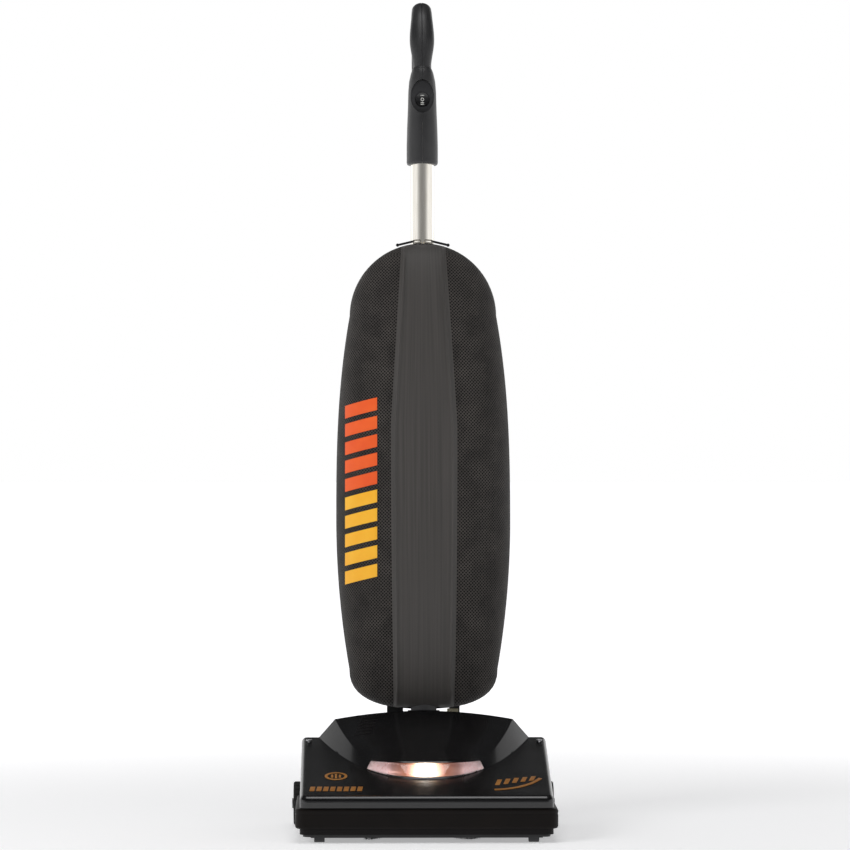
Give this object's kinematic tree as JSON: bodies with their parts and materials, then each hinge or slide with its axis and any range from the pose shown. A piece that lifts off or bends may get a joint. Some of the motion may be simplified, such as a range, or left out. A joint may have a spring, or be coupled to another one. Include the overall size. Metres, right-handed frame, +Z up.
{
  "type": "upright vacuum cleaner",
  "caption": "Battery upright vacuum cleaner with a low black nozzle, headlight, zipped mesh bag and a leaning tube handle with a loop grip and switch.",
  "frame": {"origin": "on the floor, at the middle of the machine's footprint with the handle parked", "axes": "+Z up, the nozzle faces -Y, +X is on the right of someone who looks at its front"},
  "size_m": [0.35, 0.4454, 1.111],
  "materials": {
    "base_shell": "moulded, fine matt grain",
    "hood": "polished black",
    "bumper": "matt soft vinyl guard",
    "sole_plate": "pressed plate, painted black",
    "sole_latch_left": "turned",
    "sole_latch_right": "turned",
    "headlight_lens": "clear moulded lens with ribbed ends",
    "headlight_reflector": "vacuum coated",
    "led_module": "lit white LEDs on a board",
    "motor_casing": "cast",
    "motor_stator": "laminations and windings",
    "motor_rotor": "shaft and armature",
    "fan_impeller": "moulded",
    "fan_cover": "moulded",
    "suction_duct": "moulded",
    "blower_duct": "moulded",
    "duct_saddle": "moulded",
    "control_board": "circuit board with parts",
    "hood_screws": "zinc plated",
    "brush_roller": "moulded core",
    "brush_bristles": "nylon tufts",
    "brush_end_caps": "moulded",
    "drive_belt": "flat drive belt",
    "front_wheel_left": "moulded",
    "rear_wheel_left": "moulded hub",
    "rear_tyre_left": "soft tread",
    "front_wheel_right": "moulded",
    "rear_wheel_right": "moulded hub",
    "rear_tyre_right": "soft tread",
    "wheel_axles": "turned",
    "pivot_bushes": "acetal",
    "release_pedal": "moulded, ribbed pad",
    "pedal_spring": "spring wire",
    "yoke": "glass filled moulding",
    "detent_plate": "pressed plate",
    "swivel_drum": "moulded",
    "fill_tube": "extruded tube",
    "handle_tube": "polished tube",
    "bag_clips": "moulded",
    "bag_back_panel": "cloth over a stiff panel",
    "bag_boot": "cloth, lower end of the bag",
    "bag_dock": "moulded",
    "bag_collar": "plain board",
    "filter_bag": "folded filter paper",
    "zipper_tape_back": "woven tape with coil teeth",
    "zipper_tape_front": "woven tape with coil teeth",
    "mesh_panel_left": "spacer mesh",
    "zipper_slider_left": "nickel",
    "zipper_pull_left": "nickel",
    "grip_left": "satin moulding",
    "mesh_panel_right": "spacer mesh",
    "zipper_slider_right": "nickel",
    "zipper_pull_right": "nickel",
    "grip_right": "satin moulding",
    "centre_strip": "padded vinyl strip",
    "battery_dock": "moulded",
    "battery_pack": "moulded case",
    "battery_latch": "moulded button",
    "switch_bezel": "moulded",
    "rocker_switch": "moulded"
  },
  "bodies": {
    "base": {"base_shell": "base_shell", "hood": "hood", "bumper": "bumper", "sole_plate": "sole_plate", "headlight_lens": "headlight_lens", "headlight_reflector": "headlight_reflector", "led_module": "led_module", "motor_casing": "motor_casing", "motor_stator": "motor_stator", "fan_cover": "fan_cover", "suction_duct": "suction_duct", "blower_duct": "blower_duct", "duct_saddle": "duct_saddle", "control_board": "control_board", "hood_screws": "hood_screws", "brush_end_caps": "brush_end_caps", "drive_belt": "drive_belt", "wheel_axles": "wheel_axles", "pivot_bushes": "pivot_bushes", "pedal_spring": "pedal_spring"},
    "brush": {"brush_roller": "brush_roller", "brush_bristles": "brush_bristles"},
    "rotor": {"motor_rotor": "motor_rotor", "fan_impeller": "fan_impeller"},
    "front_wheel_left": {"front_wheel_left": "front_wheel_left"},
    "front_wheel_right": {"front_wheel_right": "front_wheel_right"},
    "rear_wheel_left": {"rear_wheel_left": "rear_wheel_left", "rear_tyre_left": "rear_tyre_left"},
    "rear_wheel_right": {"rear_wheel_right": "rear_wheel_right", "rear_tyre_right": "rear_tyre_right"},
    "sole_latch_left": {"sole_latch_left": "sole_latch_left"},
    "sole_latch_right": {"sole_latch_right": "sole_latch_right"},
    "release_pedal": {"release_pedal": "release_pedal"},
    "handle": {"yoke": "yoke", "detent_plate": "detent_plate", "swivel_drum": "swivel_drum", "fill_tube": "fill_tube", "handle_tube": "handle_tube", "bag_clips": "bag_clips", "bag_back_panel": "bag_back_panel", "bag_boot": "bag_boot", "bag_dock": "bag_dock", "bag_collar": "bag_collar", "filter_bag": "filter_bag", "zipper_tape_back": "zipper_tape_back", "battery_dock": "battery_dock", "grip_left": "grip_left", "grip_right": "grip_right", "switch_bezel": "switch_bezel"},
    "bag_door": {"zipper_tape_front": "zipper_tape_front", "mesh_panel_left": "mesh_panel_left", "mesh_panel_right": "mesh_panel_right", "centre_strip": "centre_strip"},
    "zipper_slider_left": {"zipper_slider_left": "zipper_slider_left"},
    "zipper_slider_right": {"zipper_slider_right": "zipper_slider_right"},
    "zipper_pull_left": {"zipper_pull_left": "zipper_pull_left"},
    "zipper_pull_right": {"zipper_pull_right": "zipper_pull_right"},
    "battery": {"battery_pack": "battery_pack"},
    "battery_latch": {"battery_latch": "battery_latch"},
    "rocker_switch": {"rocker_switch": "rocker_switch"}
  },
  "joints": [
    {"name": "handle_recline", "type": "hinge", "parent": "base", "child": "handle", "pos_m": [0, 0.03979, 0.078], "axis": [-1, 0, 0], "range_deg": [0, 75]},
    {"name": "motor_spin", "type": "hinge", "parent": "base", "child": "rotor", "pos_m": [0, -0.06421, 0.07], "axis": [1, 0, 0], "continuous": true},
    {"name": "brush_spin", "type": "hinge", "parent": "base", "child": "brush", "pos_m": [0, -0.18371, 0.028], "axis": [1, 0, 0], "continuous": true},
    {"name": "release_pedal_press", "type": "hinge", "parent": "base", "child": "release_pedal", "pos_m": [0.035, 0.04979, 0.028], "axis": [-1, 0, 0], "range_deg": [0, 8], "stiffness_Nm_per_rad": 0.6, "springref_deg": -14.32, "deforming": ["pedal_spring"]},
    {"name": "sole_latch_left_turn", "type": "hinge", "parent": "base", "child": "sole_latch_left", "pos_m": [-0.124, -0.03221, 0.008], "axis": [0, 0, 1], "range_deg": [0, 90]},
    {"name": "sole_latch_right_turn", "type": "hinge", "parent": "base", "child": "sole_latch_right", "pos_m": [0.124, -0.03221, 0.008], "axis": [0, 0, -1], "range_deg": [0, 90]},
    {"name": "bag_door_fold", "type": "hinge", "parent": "handle", "child": "bag_door", "pos_m": [0, -0.02957, 0.25472], "axis": [1, 0, 0], "range_deg": [0, 55]},
    {"name": "battery_slide", "type": "slide", "parent": "handle", "child": "battery", "axis": [0, 0.0872, 0.9962], "range_m": [0, 0.09]},
    {"name": "battery_latch_press", "type": "slide", "parent": "battery", "child": "battery_latch", "axis": [0, -0.9962, 0.0872], "range_m": [0, 0.0026], "stiffness_N_per_m": 500, "springref_m": -0.002},
    {"name": "power_switch_rock", "type": "hinge", "parent": "handle", "child": "rocker_switch", "pos_m": [0, 0.12979, 0.97356], "axis": [1, 0, 0], "range_deg": [-10, 10]},
    {"name": "front_wheel_left_spin", "type": "hinge", "parent": "base", "child": "front_wheel_left", "pos_m": [-0.137, -0.20021, 0.013], "axis": [1, 0, 0], "continuous": true},
    {"name": "rear_wheel_left_spin", "type": "hinge", "parent": "base", "child": "rear_wheel_left", "pos_m": [-0.163, 0.03979, 0.029], "axis": [1, 0, 0], "continuous": true},
    {"name": "zipper_slider_left_run", "type": "hinge", "parent": "handle", "child": "zipper_slider_left", "pos_m": [0, 0.09226, 0.67773], "axis": [0, -0.9962, 0.0872], "range_deg": [0, 70]},
    {"name": "zipper_pull_left_swing", "type": "hinge", "parent": "zipper_slider_left", "child": "zipper_pull_left", "pos_m": [-0.0126, 0.09218, 0.78005], "axis": [0, 0.9962, -0.0872], "range_deg": [0, 100]},
    {"name": "front_wheel_right_spin", "type": "hinge", "parent": "base", "child": "front_wheel_right", "pos_m": [0.137, -0.20021, 0.013], "axis": [1, 0, 0], "continuous": true},
    {"name": "rear_wheel_right_spin", "type": "hinge", "parent": "base", "child": "rear_wheel_right", "pos_m": [0.163, 0.03979, 0.029], "axis": [1, 0, 0], "continuous": true},
    {"name": "zipper_slider_right_run", "type": "hinge", "parent": "handle", "child": "zipper_slider_right", "pos_m": [0, 0.09226, 0.67773], "axis": [0, 0.9962, -0.0872], "range_deg": [0, 70]},
    {"name": "zipper_pull_right_swing", "type": "hinge", "parent": "zipper_slider_right", "child": "zipper_pull_right", "pos_m": [0.0126, 0.09218, 0.78005], "axis": [0, -0.9962, 0.0872], "range_deg": [0, 100]}
  ],
  "couplings": [
    {"joint": "brush_spin", "follows": "motor_spin", "ratio": 0.57143}
  ]
}
